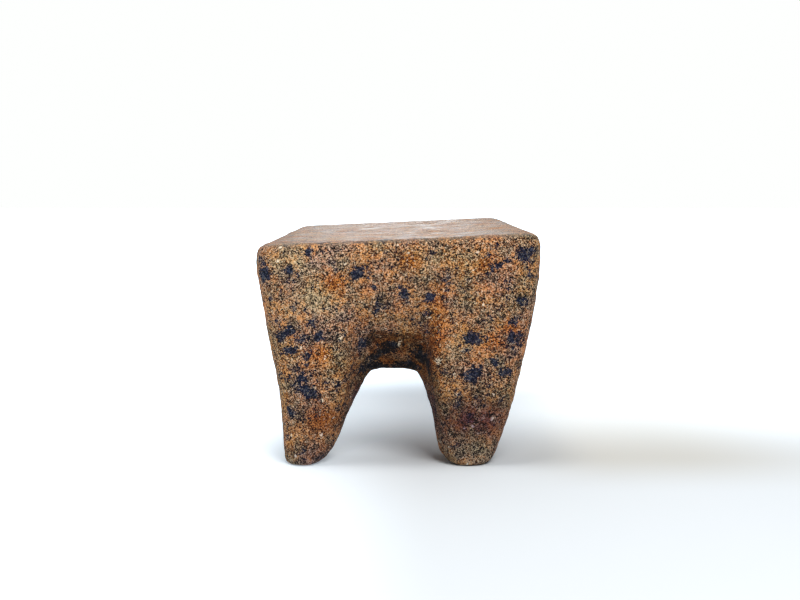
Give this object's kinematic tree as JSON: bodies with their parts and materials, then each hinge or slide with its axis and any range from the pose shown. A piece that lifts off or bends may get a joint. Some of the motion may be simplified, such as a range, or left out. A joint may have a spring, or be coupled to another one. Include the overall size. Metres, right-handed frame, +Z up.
{
  "type": "grinding stone",
  "caption": "Oblong grinding stone with a flat, slightly tilted top on tapering legs at its corners, carved from a single block for crushing grain or spices by hand.",
  "frame": {"origin": "middle of the stone's outline, on the floor that its soles stand on", "axes": "+X across the stone towards its higher side, +Y along it away from the end seen in the picture, +Z up"},
  "size_m": [0.154, 0.2946, 0.1261],
  "materials": {
    "stone": "coarse reddish brown stone with dark, tan and cream grains, matte, worn smoother and paler on the top"
  },
  "bodies": {
    "root": {"grinding_stone": "stone"}
  },
  "joints": []
}
